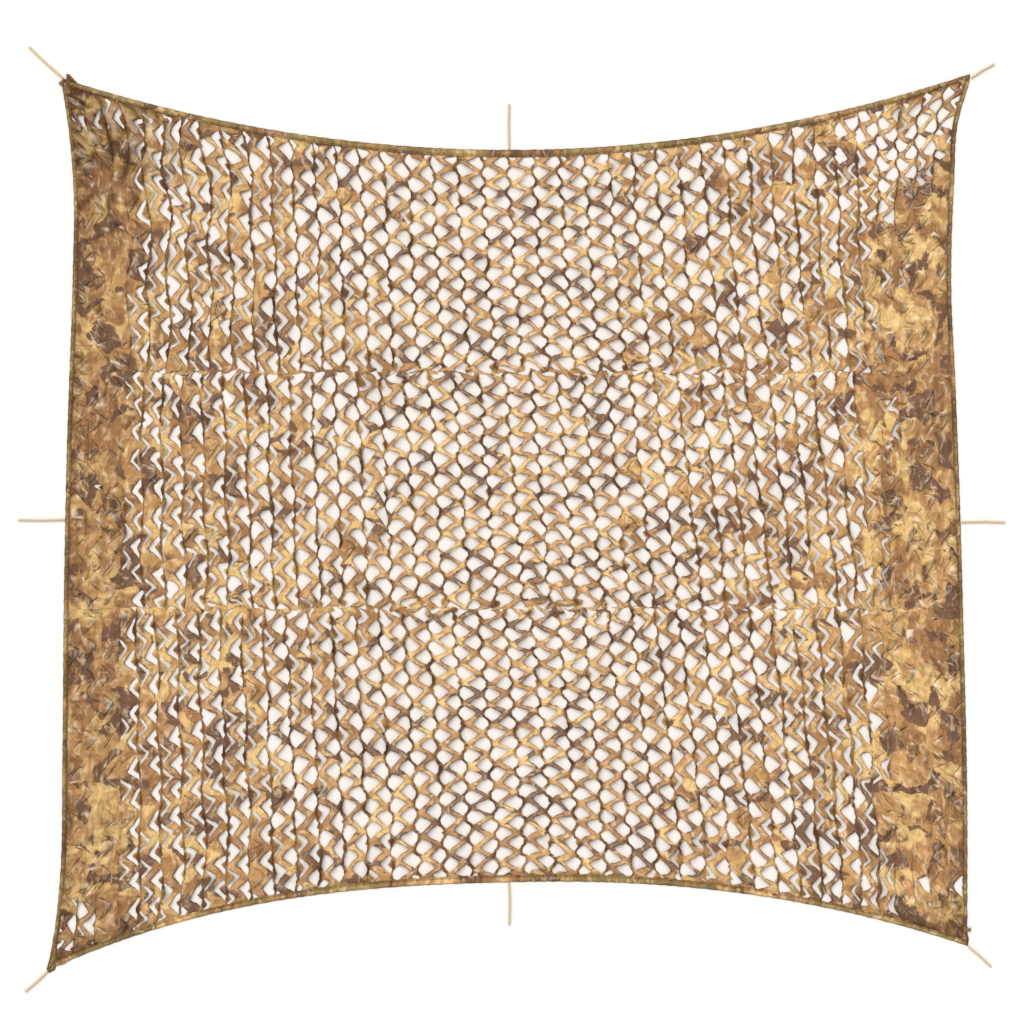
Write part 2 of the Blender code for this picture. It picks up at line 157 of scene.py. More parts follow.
def side_edge(y, stations):
    """X of a side edge at y: a cubic through the stations, straight beyond the first and the last."""
    heights, reaches = np.array(stations).T
    slopes = np.gradient(reaches, heights)
    inside = np.clip(y, heights[0], heights[-1])
    span = np.clip(np.searchsorted(heights, inside) - 1, 0, len(heights) - 2)
    length = heights[span + 1] - heights[span]
    t = (inside - heights[span]) / length
    start = reaches[span] * (1 + 2 * t) * (1 - t) ** 2 + slopes[span] * length * t * (1 - t) ** 2
    end = reaches[span + 1] * t**2 * (3 - 2 * t) - slopes[span + 1] * length * t**2 * (1 - t)
    return start + end + (y - inside) * np.where(y < inside, slopes[0], slopes[-1])


def top_outer(x):
    """Y of the binding's outer line along the top."""
    return long_edge(x, TOP_CORNERS, TOP_SAG, TOP_CURVE)


def bottom_outer(x):
    """Y of the binding's outer line along the bottom."""
    return long_edge(x, BOTTOM_CORNERS, BOTTOM_SAG, BOTTOM_CURVE)


def cloth_left(y):
    """X of the cloth's left edge, which is held in from the binding's outer line."""
    return side_edge(y, LEFT_SIDE) + HELD_IN


def cloth_right(y):
    """X of the cloth's right edge, held in the same way."""
    return side_edge(y, RIGHT_SIDE) - HELD_IN


def ramp(value, start, end):
    """0 up to start, 1 from end on, and smooth in between."""
    t = np.clip((value - start) / (end - start), 0, 1)
    return t * t * (3 - 2 * t)


def near(x, y, place, start, end):
    """1 up to the distance start from a place, 0 from the distance end on, and smooth in between."""
    return 1 - ramp(np.hypot(x - place[0], y - place[1]), start, end)


# Chain numbers run from 0 at the left edge to CHAINS at the right edge. Their places across the middle of the
# net come from adding up 1 / spacing.
middle_x = np.linspace(float(cloth_left(0.0)), float(cloth_right(0.0)), 400)
chain_count = np.cumsum(1 / np.interp(middle_x, LATTICE[:, X_COLUMN], LATTICE[:, SPACING]))
chain_count *= middle_x[1] - middle_x[0]
chain_count -= chain_count[0]
CHAINS = round(float(chain_count[-1]))
chain_count *= CHAINS / chain_count[-1]


def lattice(chain, column):
    """One column of LATTICE at a chain number, which may lie between two chains."""
    return np.interp(np.interp(chain, chain_count, middle_x), LATTICE[:, X_COLUMN], LATTICE[:, column])


def lay_out(chain, row, upper, lower):
    """X and Y of points given by chain and row number. Row 0 is the middle of the width and the others are a
    pitch apart, up and down. The first row past the width's edge lies EDGE_BAND inside it, and the others on
    it. Rows lie closer in the top right corner, which is pulled sideways. Chains lean about row 0."""
    share = (np.interp(chain, chain_count, middle_x) - middle_x[0]) / (middle_x[-1] - middle_x[0])
    pitch, lean = lattice(chain, PITCH), lattice(chain, LEAN)
    y = np.zeros_like(share)
    middle = y
    for _ in range(8):
        x = cloth_left(y) + share * (cloth_right(y) - cloth_left(y)) + lean * (middle - y)
        top, bottom = upper(x), lower(x)
        middle = (top + bottom) / 2
        y = middle + row * pitch * (1 - 0.27 * ramp(x, 0.95, 1.30) * ramp(y, 0.75, 1.15))
        for edge, inward in ((top, -1), (bottom, 1)):
            beyond = inward * (edge - y)
            band = EDGE_BAND * (beyond < 0.08 * pitch)
            y = np.where(beyond > -EDGE_BAND, edge + inward * band, y)
    return x, y


def gathers(share, y):
    """Height of the gathered cloth: soft folds down each side, flat at the binding and in the middle. It is
    half a sine across the gathers by a sine down the net."""
    left = np.sin(np.pi * np.clip(share / GATHER_LEFT, 0, 1))
    right = np.sin(np.pi * np.clip((share - GATHER_RIGHT) / (1 - GATHER_RIGHT), 0, 1))

    def folds(mean, swing, crests, slant):
        return mean + swing * np.sin(2 * np.pi * crests * y / FOLD_LENGTH + slant * share)

    return FOLD_HEIGHT * (left * folds(*LEFT_FOLDS) + right * folds(*RIGHT_FOLDS))


def creases(x, y):
    """Uneven creases between about -1 and 1: waves of mixed lengths, most of them running down the net, added
    up. Half of them are folded over at their middle height, which makes sharp ridges."""
    random = np.random.default_rng(5)
    total = np.zeros_like(x)
    for number in range(16):
        heading, length = random.normal(0, 0.4), random.uniform(0.025, 0.065)
        phase = random.uniform(0, 2 * np.pi)
        bend = 0.9 * np.sin(2 * np.pi * (y * 3.1 - x * 2.3) + phase)
        wave = np.sin(2 * np.pi * (x * np.cos(heading) + y * np.sin(heading)) / length + phase + bend)
        total += wave if number % 2 else 1.3 * (1 - 2 * np.abs(wave))
    return total / 5


def corner_folds(x, y):
    """Height of the folds that fan out from the corners: cosines of the angle about each corner, with sharp
    valleys between them, which die away with the distance from it."""
    total = np.zeros_like(x)
    for corner_x, corner_y, length, height in CORNER_FOLDS:
        away = np.hypot(x - corner_x, y - corner_y)
        angle = np.arctan2(np.abs(y - corner_y), np.abs(x - corner_x))
        fan = 0.8 * np.cos(19 * angle + 3 * np.sin(5 * angle)) + 0.4 * np.cos(31 * angle + 1)
        fan = fan + 1.0 * (2 * np.abs(np.sin(13 * angle + 5 * np.sin(9 * away))) - 1)
        total += height * fan * ramp(away, 0.02, 0.12) * (1 - ramp(away, 0.4 * length, length))
    return total


def openness(x, y, chain):
    """Share of the slits that are wide open, opening of the others, and how taut the cloth is: LATTICE's
    values, raised to those of PULLED_OPEN near each of its places."""
    wide_share, part_open = lattice(chain, WIDE_OPEN), lattice(chain, PART_OPEN)
    taut = np.zeros_like(x)
    for patch_x, patch_y, radius, wide, part in PULLED_OPEN:
        pull = 1 - ramp(np.hypot(x - patch_x, y - patch_y) / radius, 0.1, 1.25)
        wide_share = np.maximum(wide_share, wide * pull)
        part_open = np.maximum(part_open, part * pull)
        taut = np.maximum(taut, 0.8 * pull)
    return wide_share, part_open, taut


def store(mesh, uv_name, uv, **point_values):
    """Put a UV map, given by a place for each vertex, and attributes of the vertices on a mesh."""
    corners = np.empty(len(mesh.loops), int)
    mesh.loops.foreach_get("vertex_index", corners)
    mesh.uv_layers.new(name=uv_name).data.foreach_set("uv", uv.reshape(-1, 2)[corners].ravel())
    for name, values in point_values.items():
        mesh.attributes.new(name, "FLOAT", "POINT").data.foreach_set("value", values.ravel())


def weld(mesh, upper, lower):
    """Merge the doubles of a width's mesh and drop its loose points. Its cut ends stay sharp in shading, or
    each seam would be drawn as a dark line."""
    grid = bmesh.new()
    grid.from_mesh(mesh)
    bmesh.ops.remove_doubles(grid, verts=grid.verts, dist=SAME_POINT)
    bmesh.ops.dissolve_degenerate(grid, edges=grid.edges, dist=SAME_POINT / 2)
    loose_points = [vert for vert in grid.verts if not vert.link_faces]
    bmesh.ops.delete(grid, geom=loose_points, context="VERTS")
    grid.to_mesh(mesh)
    grid.free()
    place, ends = np.empty(3 * len(mesh.vertices)), np.empty(2 * len(mesh.edges), int)
    corner_edges = np.empty(len(mesh.loops), int)
    mesh.vertices.foreach_get("co", place)
    mesh.edges.foreach_get("vertices", ends)
    mesh.loops.foreach_get("edge_index", corner_edges)
    x, y, _ = place.reshape(-1, 3).T
    at_end = np.minimum(np.abs(y - upper(x)), np.abs(y - lower(x))) < CUT_END
    on_rim = np.bincount(corner_edges, minlength=len(mesh.edges)) == 1
    mesh.shade_smooth()
    sharp = on_rim & at_end[ends.reshape(-1, 2)].all(axis=1)
    mesh.attributes.new("sharp_edge", "BOOLEAN", "EDGE").data.foreach_set("value", sharp)


class NetWidth:
    """The cut cloth of one width.

    Points lie on a grid of rows and, in each cell between two chains, ten columns: half a chain, tongue,
    ribbon, tongue, half a chain. A hole leaves its chain's right side half-way between two rows, and its left
    side at a row. At each row of points the ribbon lies between the reach of the hole on its left and of that
    on its right. A hole's two ends lie a little way in from its chain, so that it is rounded all the way.
    """

    def __init__(self, upper, lower, most_rows, seed, edge_heights, edge_clear):
        self.upper, self.lower, self.most_rows, self.seed = upper, lower, most_rows, seed
        self.edge_heights, self.edge_clear = edge_heights, edge_clear
        self.random = np.random.default_rng(seed)
        self.row = np.add.outer(np.arange(-2 * most_rows, 2 * most_rows) / 2, ROW_PARTS).reshape(-1, 1)
        self.phase = 2 * np.pi * self.row
        self.cell = np.arange(CHAINS)[None, :]
        self.middle = self.cell + 0.5
        self.centre = lay_out(self.middle, self.row, upper, lower)
        self.wide_share, self.part_open, self.taut = openness(*self.centre, self.middle)
        # An edge where no strip is kept clear of slits is a seam.
        self.to_seams = [distance for distance, clear in zip(self.to_edges(*self.centre), edge_clear)
                         if not clear]
        self.holes = self.cut(on_chains_left=False), self.cut(on_chains_left=True)
        self.place_points()

    def to_edges(self, x, y):
        """Distances down from the upper edge and up from the lower one."""
        return self.upper(x) - y, y - self.lower(x)

    def columns_of(self, values):
        """One array from a value or an array for each of the ten columns."""
        return np.stack([np.broadcast_to(value, self.wide_share.shape) for value in values], axis=2)

    def cut(self, on_chains_left):
        """The holes on one side of the chains: base, reach of hole and tongue in shares of the spacing, the
        tongue's turn, how far the hole gapes, whether its tongue has curled to a dark knot, how closed it is,
        and how far its upper and lower end are drawn towards each other.

        A hole reaches furthest at the middle of its height, and less by a power of the distance from it, as a
        triangle with a rounded point does. What its opening leaves of that reach is the tongue. Each hole has
        its own seeded draws."""
        # Towards a hem, which has a clear strip, fewer slits are cut. Towards a seam they are drawn in.
        whole, drawn_in = np.ones_like(self.wide_share), np.ones_like(self.wide_share)
        for distance, clear in zip(self.to_edges(*self.centre), self.edge_clear):
            if clear:
                whole = whole * ramp(distance, 0, clear)
            else:
                at_seam = 1 - ramp(distance, 0, SEAM_PULL)
                drawn_in = drawn_in * (1 - (0.08 + 0.62 * self.wide_share) * at_seam)

        number = (np.rint(self.row) if on_chains_left else np.floor(self.row + 1e-9)).astype(int)
        beside = self.row - number - (0 if on_chains_left else 0.5)
        off = np.abs(beside)
        size = (2 * self.most_rows + 3, CHAINS)
        luck, spread = self.random.random(size), self.random.normal(0, 1, (5, *size))
        luck = np.where(self.random.random(size) < 0.35, np.roll(luck, 1, axis=0), luck)
        spread = np.clip(spread, -2, 2)
        pick = (number + self.most_rows + 1, self.cell)
        wide = ramp(1.15 * self.wide_share - luck[pick], 0, 0.15)
        # In the left half, the tongues on the chains' left have slipped back further than the others.
        slack = 0.34 * ramp(self.part_open, 0.1, 0.3) * (1 - ramp(self.centre[0], -0.75, -0.20))
        opening = self.part_open * (1 + 0.3 * spread[0][pick]) + on_chains_left * slack
        opening = np.clip(opening + (1 - opening) * wide, 0, 1)
        opening = np.where(opening > 0.24, np.maximum(opening, 0.32), 0) * drawn_in
        closed = 1 - ramp(opening, 0.0, 0.15)
        slit = whole * (np.roll(luck, 3, axis=1)[pick] > 0.5 * closed)
        deep = DEPTH * (1 + 0.05 * spread[1][pick]) * (1 - 0.18 * (1 - wide))
        power = 1.20 + 0.15 * wide + 0.12 * spread[2][pick]
        end = HOLE_END * (0.2 + 0.8 * wide)
        base = deep * end * np.clip((off - 0.12) / (ROOT - 0.12), 0, 1) ** 1.6
        reach = (deep * (end + (1 - end) * np.clip(1 - (off / ROOT) ** power, 0, 1)) - base).clip(0) * slit
        reach = reach * (off < ROOT)
        tongue = np.clip(reach - opening * deep * np.clip(1 - (off / ROOT) ** 7, 0, 1), 0, 1)
        tongue = tongue * (1 + closed * (0.16 + 0.05 * spread[3][pick]))
        knot = np.maximum(wide, 0.8 * (opening > 0.25)) * (spread[4][pick] > 1.0)
        tongue = np.maximum(tongue, 0.3 * reach * wide * knot) * (tongue + wide * knot > 0.03)
        turn = lattice(self.middle, CURL) * (1 + 0.35 * spread[3][pick]) * (1 - 0.3 * wide) + 2.0 * knot
        squeeze = -0.10 * wide * np.minimum(off, (0.5 - off) * ROOT / (0.5 - ROOT)) * np.sign(beside)
        return SimpleNamespace(base=base, reach=reach, tongue=tongue, turn=np.maximum(turn, 0.05), knot=knot,
                               gape=ramp(reach - tongue, 0.05, 0.35), closed=closed, squeeze=squeeze)

    def across_cells(self):
        """Places of the ten columns between two chains, and how far each chain is pulled. Next to a chain
        come half its breadth, the hole's base, and the tongue, which spans sin(turn) / turn of its length.
        The ribbon takes what the two holes' reaches leave. A chain swings right at the rows and left half-way
        between, where the holes lie against it."""
        pulled = ramp(self.wide_share + self.part_open, 0.1, 1.3)
        pulled = np.concatenate([pulled, pulled[:, -1:]], axis=1)
        waver = 0.012 * self.random.normal(0, 1, (2, 1, CHAINS + 1)).clip(-2, 2)
        swing = WIGGLE * (0.4 * ramp(pulled, 0.02, 0.2) + 0.6 * pulled**1.4) * np.cos(self.phase)
        swing += waver[0] * np.sin(self.phase * 0.71) + waver[1] * np.cos(self.phase * 1.37)
        swing[:, [0, -1]] = 0
        half = CHAIN_HALF * (1 + 0.8 * ramp(pulled, 0, 0.1) * (1 - pulled))
        left, right = self.holes
        left_chain, right_chain = swing[:, :-1], 1 + swing[:, 1:]
        left_root, right_root = left_chain + half[:, :-1] + left.base, right_chain - half[:, 1:] - right.base
        left_edge, right_edge = left_root + left.reach, right_root - right.reach
        left_tip = left_root + left.tongue * np.sin(left.turn) / left.turn
        right_tip = right_root - right.tongue * np.sin(right.turn) / right.turn
        ribbon = [left_edge + (right_edge - left_edge) * part for part in RIBBON_PARTS]
        across = (left_chain, left_root, left_tip, *ribbon, right_tip, right_root, right_chain)
        return np.stack(across, axis=2), pulled

    def place_points(self):
        """X and Y of the points. The lattice wanders by sines of chain and row, more so in the gathers, but
        not at the sides."""
        across, pulled = self.across_cells()
        within = (across - across[:, :, :1]) / (across[:, :, -1:] - across[:, :, :1])
        across = across + self.cell[:, :, None]
        row = self.row[:, :, None]
        inner = ramp(np.minimum(across, CHAINS - across), 0, 2)
        loose = 0.5 + 0.9 * (1 - pulled[:, :-1, None] * (1 - within) - pulled[:, 1:, None] * within)
        to_corner = np.hypot(self.centre[0] + 1.3, self.centre[1] - 1.2)
        loose = loose * (2.1 - 1.1 * ramp(to_corner, 0.1, 0.8))[:, :, None]
        row_off = row + 0.07 * loose * np.sin(1.7 * across + 1.1 * row + self.seed)
        row_off = row_off + 0.06 * np.sin(0.9 * across + 2)
        for columns, holes in zip((slice(1, 4), slice(6, 9)), self.holes):
            row_off[:, :, columns] += holes.squeeze[:, :, None]
        wander = 0.07 * loose * np.sin(1.7 * row - 0.9 * across + self.seed) * inner
        for distance in self.to_seams:
            slanted = (0.16 * np.sin(4.1 * self.cell) * (1 - ramp(distance, 0, 0.07)))[:, :, None]
            wander = wander + slanted * inner * np.sin(np.pi * within)
        x, y = lay_out(across + wander, row_off, self.upper, self.lower)
        to_end = np.minimum(*self.to_edges(x, y))
        self.at_end = to_end < SAME_POINT
        ragged = 0.0010 * inner
        self.x = x + ragged * np.sin(310 * y + 170 * x)
        self.y = y + np.minimum(ragged, 0.1 * to_end.clip(0)) * np.sin(290 * x - 210 * y)
        self.across, self.within, self.row_off = across, within, row_off
        breadth = cloth_right(self.y) - cloth_left(self.y)
        self.share = (self.x - cloth_left(self.y)) / breadth
        self.to_sides = self.share * breadth, (1 - self.share) * breadth
        self.crease, self.folds = creases(self.x, self.y), corner_folds(self.x, self.y)
        self.crease_height = lattice(across, CREASE) * (1 - self.taut[:, :, None])

    def heights(self):
        """Curled tongues, ribbons that tilt, bend and rise to a crown, creases, gathers and corner folds.

        A tongue's tip stands (1 - cos(turn)) / turn of its length up. A ribbon tilts by two sines along it,
        bends by a square across it, and rises to its crown by half a sine across the cell. Near an edge all
        this sinks to the edge's own height."""
        left, right = self.holes
        tilt = (RIBBON_TILT[0] * np.sin(self.phase + 0.6)
                + RIBBON_TILT[1] * np.sin(1.7 * self.phase + 2.3 * self.cell))
        tilt = tilt * (1 - 0.7 * np.maximum(left.closed, right.closed))
        ribbon = [tilt * (2 * part - 1) - RIBBON_BEND * (2 * part - 1) ** 2 for part in RIBBON_PARTS]
        # Where ribbon and chain are one cloth, the ribbon's edge lies at the chain's height.
        ribbon[0], ribbon[-1] = ribbon[0] * (left.reach > 0), ribbon[-1] * (right.reach > 0)
        spacing = lattice(self.middle, SPACING)
        lifts = [holes.tongue * spacing * (1 - np.cos(holes.turn)) / holes.turn + CUT_LIFT * holes.closed
                 for holes in self.holes]
        crown = lattice(self.middle, CROWN)[..., None] * np.sin(np.pi * self.within)
        z = self.columns_of((0, 0, lifts[0], *ribbon, lifts[1], 0, 0))
        z = LOW + np.maximum(z + crown + self.crease_height * (1 + self.crease), 0)
        distances = (*self.to_edges(self.x, self.y), *self.to_sides)
        strips = (*(0.3 * clear for clear in self.edge_clear), 0.005, 0.005)
        for distance, height, strip in zip(distances, (*self.edge_heights, TAPE_MIDDLE, TAPE_MIDDLE), strips):
            z = height + (z - height) * ramp(distance, AT_HEM[0] + strip, AT_HEM[1] + strip)
        soft = gathers(self.share, self.y) * (1 - self.taut[:, :, None])
        hems = ramp(top_outer(self.x) - self.y, LONG_TAPE_WIDE, 0.06)
        hems = hems * ramp(self.y - bottom_outer(self.x), LONG_TAPE_WIDE, 0.06)
        z = z + (soft + np.maximum(self.folds, -0.8 * (z - LOW))) * hems
        return np.minimum(z, FULL_HEIGHT) + 0.5 * np.clip(z - FULL_HEIGHT, 0, FULL_HEIGHT)

    def shade(self):
        """Painted shade, as shares from 0 to 1 added up: dark chains and curled knots between open holes
        (painted shade together with the cloth's darker back), the ribbons' edges beside open holes and under
        closed tongues, the gathers, corners, crease valleys, hems and the folds at the corners."""
        left, right = self.holes
        x, y = self.x, self.y
        broken = 0.60 * np.sin(3.7 * self.row + 2.9 * self.cell) * np.sin(1.3 * self.row - 1.7 * self.cell)
        broken = np.clip(0.85 + broken, 0.30, 1)
        near_seam = np.ones_like(self.wide_share)
        for distance in self.to_seams:
            near_seam = near_seam * ramp(distance, 0.004, 0.016)
        chain = (0.10 + 0.85 * np.maximum(left.gape, right.gape) ** 0.5) * broken * near_seam
        roots = [(0.10 + 0.95 * holes.gape**0.5) * broken * near_seam for holes in self.holes]
        tips = [0.04 + 0.9 * holes.knot for holes in self.holes]
        under = [0.62 * holes.gape + 0.5 * holes.closed * (holes.reach > 0) for holes in self.holes]
        sides = [(roots[side], tips[side], under[side]) for side in (0, 1)]
        shade = self.columns_of((chain, *sides[0], 0, 0, *reversed(sides[1]), chain))
        corner = near(x, y, (-1.45, 1.45), 0.15, 0.6)
        for place in (TOP_CORNERS[1], *BOTTOM_CORNERS):
            corner = corner + 1.2 * near(x, y, place, 0.04, 0.28)
        valley = np.clip(-self.crease, 0, 1.5) * self.crease_height / FULL_CREASE
        to_hem = np.minimum.reduce((top_outer(x) - y, y - bottom_outer(x),
                                    *(distance + HELD_IN for distance in self.to_sides)))
        shade = shade + lattice(self.middle, SHADE)[..., None] + CORNER_SHADE * corner + VALLEY_SHADE * valley
        shade = shade + HEM_SHADE * (1 - ramp(to_hem, 0.014, 0.050))
        return np.clip(shade + FOLD_SHADE * np.clip(-self.folds / FULL_FOLD, 0, 1), 0, 1)

    def highlights(self):
        """Painted highlights: paler cloth on the ridges of creases and folds, at the cut edges of closed
        slits and part-open tongues, and on ribbons beside open holes; none at the seams.
        """
        height = self.crease_height
        pale = CREASE_HIGHLIGHT * np.clip(self.crease, 0, 1.5) * height / FULL_CREASE * (height > 0.002)
        pale = pale + FOLD_HIGHLIGHT * np.clip(self.folds / FULL_FOLD, 0, 1) ** 2
        shown = np.sin(7.3 * self.row + 4.1 * self.cell) > -0.3
        for column, holes in zip((2, 7), self.holes):
            pale[:, :, column] += SLIT_HIGHLIGHT * holes.closed * (holes.tongue > 0.02) * shown
            part_open = (holes.tongue > 0.05) * (holes.reach - holes.tongue > 0.02)
            pale[:, :, column] += TONGUE_HIGHLIGHT * (1 - holes.gape) * part_open
        pale[:, :, 4:6] += RIBBON_HIGHLIGHT * np.maximum(*(holes.gape for holes in self.holes))[:, :, None]
        for distance, clear in zip(self.to_edges(self.x, self.y), self.edge_clear):
            if not clear:
                pale = pale * ramp(distance, 0.002, 0.008)
        return pale

    def faces(self):
        """Faces between the columns: none across a hole, and a tongue's only where it has some length."""
        index = np.arange(self.x.size).reshape(self.x.shape)
        tongues = {1: self.holes[0].tongue, 7: self.holes[1].tongue}
        faces = []
        for column in (0, 1, 3, 4, 5, 7, 8):
            before, after = index[:, :, column], index[:, :, column + 1]
            quads = np.stack([before[1:], before[:-1], after[:-1], after[1:]], axis=2)
            keep = ~self.at_end.reshape(-1)[quads].all(axis=2)
            if column in tongues:
                keep &= tongues[column][:-1] + tongues[column][1:] > 0
            faces.append(quads[keep])
        return np.concatenate(faces)

    def mesh(self, name):
        """The width as one mesh, with its UV map in metres of flat cloth."""
        mesh = bpy.data.meshes.new(name)
        points = np.stack([self.x, self.y, self.heights()], axis=3).reshape(-1, 3)
        mesh.from_pydata(points, [], self.faces())
        # Rows are counted from one line for all widths, so that the print runs on across the seams' ends.
        first_row = (self.upper(-1.4) + self.lower(-1.4)) / 2 / lattice(0, PITCH)
        flat = np.stack([self.across * FLAT_SPACING, (self.row_off + first_row) * FLAT_PITCH], axis=3)
        # The attributes carry the painted shade and the painted highlights.
        store(mesh, "flat_cloth", flat, shaded=self.shade(), cut_edge=self.highlights())
        weld(mesh, self.upper, self.lower)
        return mesh


def wire(tree, node, sockets):
    """Set each named socket of a node to a value, or link it to another node's output."""
    for name, value in sockets.items():
        if isinstance(value, bpy.types.NodeSocket):
            tree.links.new(value, node.inputs[name])
        else:
            node.inputs[name].default_value = value


def add_node(tree, kind, sockets, output=0, **settings):
    """Add a shader node with its settings and sockets, and give one of its outputs."""
    node = tree.nodes.new("ShaderNode" + kind)
    for name, value in settings.items():
        setattr(node, name, value)
    wire(tree, node, sockets)
    return node.outputs[output]


def over(tree, colour, factor, top):
    """A colour laid over another, by a factor."""
    colour = (*colour, 1) if isinstance(colour, tuple) else colour
    return add_node(tree, "Mix", {"A": colour, "B": (*top, 1), "Factor": factor}, "Result", data_type="RGBA")


def new_material(name, surface):
    """A material, its node tree and its shader, with plain values set on the shader."""
    material = bpy.data.materials.new(name)
    material.use_nodes = True
    tree = material.node_tree
    wire(tree, tree.nodes["Principled BSDF"], surface)
    return material, tree, tree.nodes["Principled BSDF"]


def printed_cloth(name, olive):
    """Woven cloth, printed in soft-edged patches of browns and ochre, with some olive over them. Over the
    print
    lie painted highlights and painted shade: on small crumples, and where the mesh's attributes ask for them."""
    material, tree, shader = new_material(name, {"Roughness": 0.8, "Specular IOR Level": 0.1})
    uv = add_node(tree, "UVMap", {}, uv_map="flat_cloth")

    def noise(scale, offset, detail=3.6, stretch=(1, 1, 1), distortion=0.8):
        place = add_node(tree, "Mapping", {"Vector": uv, "Location": offset, "Scale": stretch})
        return add_node(tree, "TexNoise", {"Vector": place, "Scale": scale, "Detail": detail,
                                           "Roughness": 0.5, "Distortion": distortion})

    def between(value, low, high, start=0.0, end=1.0):
        """A value mapped smoothly from low..high to start..end."""
        return add_node(tree, "MapRange", {"Value": value, "From Min": low, "From Max": high,
                                           "To Min": start, "To Max": end}, interpolation_type="SMOOTHSTEP")

    # The patches, from the ground up: tan, ochre, mid brown, dark brown and olive.
    ground, ochre, mid_brown, dark_brown, green = ((0.53, 0.295, 0.118), (0.73, 0.475, 0.19),
                                                   (0.37, 0.190, 0.080), (0.185, 0.100, 0.062),
                                                   (0.27, 0.205, 0.072))
    colour = over(tree, ground, between(noise(8.5, (3.1, 0.7, 0)), 0.50, 0.56), ochre)
    colour = over(tree, colour, between(noise(8.0, (7.7, 5.2, 0)), 0.51, 0.57), mid_brown)
    colour = over(tree, colour, between(noise(11.0, (1.3, 9.4, 0)), 0.54, 0.58), dark_brown)
    if olive:
        colour = over(tree, colour, between(noise(6.0, (6.2, 3.5, 0)), 0.42, 0.52, 0.0, olive), green)
    # Small crumples: painted shade in their hollows, and a painted highlight on top.
    crumple = noise(26.0, (4.4, 2.8, 0), detail=2.0, stretch=(2.0, 1, 1), distortion=0.7)
    colour = over(tree, colour, between(crumple, 0.28, 0.48, 0.40, 0.0), (0.16, 0.075, 0.032))
    colour = over(tree, colour, between(crumple, 0.53, 0.68, 0.0, 0.46), (0.86, 0.64, 0.38))
    # Painted highlights and painted shade from the mesh's attributes, laid over the print. On the binding
    # tape the shade attribute also carries darker bands and a darker tone of the whole piece.
    shaded, cut_edge = (add_node(tree, "Attribute", {}, "Fac", attribute_name=attribute)
                        for attribute in ("shaded", "cut_edge"))
    colour = over(tree, colour, between(cut_edge, 0.2, 1.0, 0.0, 0.72), (0.90, 0.75, 0.56))
    darker = add_node(tree, "Math", {0: shaded, 1: 0.92}, operation="MULTIPLY")
    colour = over(tree, colour, darker, (0.066, 0.028, 0.009))

    # Relief: the weave's threads, a millimetre apart both ways, and the crumples.
    threads = [add_node(tree, "TexWave", {"Vector": uv, "Scale": 1000 / 20}, "Fac", bands_direction=direction)
               for direction in ("X", "Y")]
    weave = add_node(tree, "Math", dict(enumerate(threads)), operation="MAXIMUM")
    fine = add_node(tree, "Bump", {"Height": weave, "Distance": 0.0001, "Strength": 0.6})
    relief = add_node(tree, "Bump", {"Height": crumple, "Distance": 0.022, "Strength": 0.6, "Normal": fine})
    wire(tree, shader, {"Base Color": colour, "Normal": relief})
    return material


net_cloth = printed_cloth("printed_net_cloth", olive=0)


def under_top_tape(x):
    """Y of the cloth's edge inside the top tape."""
    return top_outer(x) - HELD_IN


def over_bottom_tape(x):
    """Y of the cloth's edge inside the bottom tape."""
    return bottom_outer(x) + HELD_IN


def seam_line(height, past):
    """Y along a seam: its height, how far the width runs past it, a zigzag in step with the chains, and a
    slow wave of a few mm."""
    def line(x):
        zigzag = np.arcsin(np.sin(2 * np.pi * np.interp(x, middle_x, chain_count) + 9 * height)) * 2 / np.pi
        return height + past + 0.011 * zigzag * (0.6 + 0.4 * np.sin(11 * x)) + 0.005 * np.sin(19 * x)

    return line


# Upper and lower edge, rows from the middle, seed, heights of the two edges, and how far in from each edge
# all slits are cut. At a seam the upper of the two widths lies on the other.
SEAM_OVER, SEAM_UNDER = 0.0030, 0.0020
WIDTHS = {
    "net_upper_width": (under_top_tape, seam_line(SEAM_UPPER, -LAP), 8, 11, (TAPE_MIDDLE, SEAM_OVER),
                        (0.030, 0)),
    "net_middle_width": (seam_line(SEAM_UPPER, LAP), seam_line(SEAM_LOWER, -LAP), 7, 12,
                         (SEAM_UNDER, SEAM_OVER), (0, 0)),
    "net_lower_width": (seam_line(SEAM_LOWER, LAP), over_bottom_tape, 8, 13, (SEAM_UNDER, TAPE_MIDDLE),
                        (0, 0.030)),
}


def add_object(name, data):
    """A new object in the scene, at the origin."""
    thing = bpy.data.objects.new(name, data)
    bpy.context.scene.collection.objects.link(thing)
    return thing


net_pieces, cloth_area = {}, {}
for name, values in WIDTHS.items():
    mesh = NetWidth(*values).mesh(name)
    mesh.materials.append(net_cloth)
    piece = add_object(name + "_cloth", mesh)
    thickness = piece.modifiers.new("cloth thickness", "SOLIDIFY")
    thickness.thickness = CLOTH_THICK
    thickness.offset = -1
    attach(piece, "root")
    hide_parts(name)
    cloth_area[name] = sum(face.area for face in mesh.polygons)
    net_pieces[name] = piece


# ------------------------------------------------------------------------------------------------
# Edge binding. Tape cut from the same printed cloth, folded over the net's edge and sewn through with a row
# of stitches. At the corners it is bunched, turned in and sewn flat, with its raw ends left sticking out.

LONG_TAPE_CORNER = 0.0150    # breadth of a long tape near its corners
TAPE_LAYER = 0.0006
TAPE_STATION = 0.006         # between rows of points along a tape
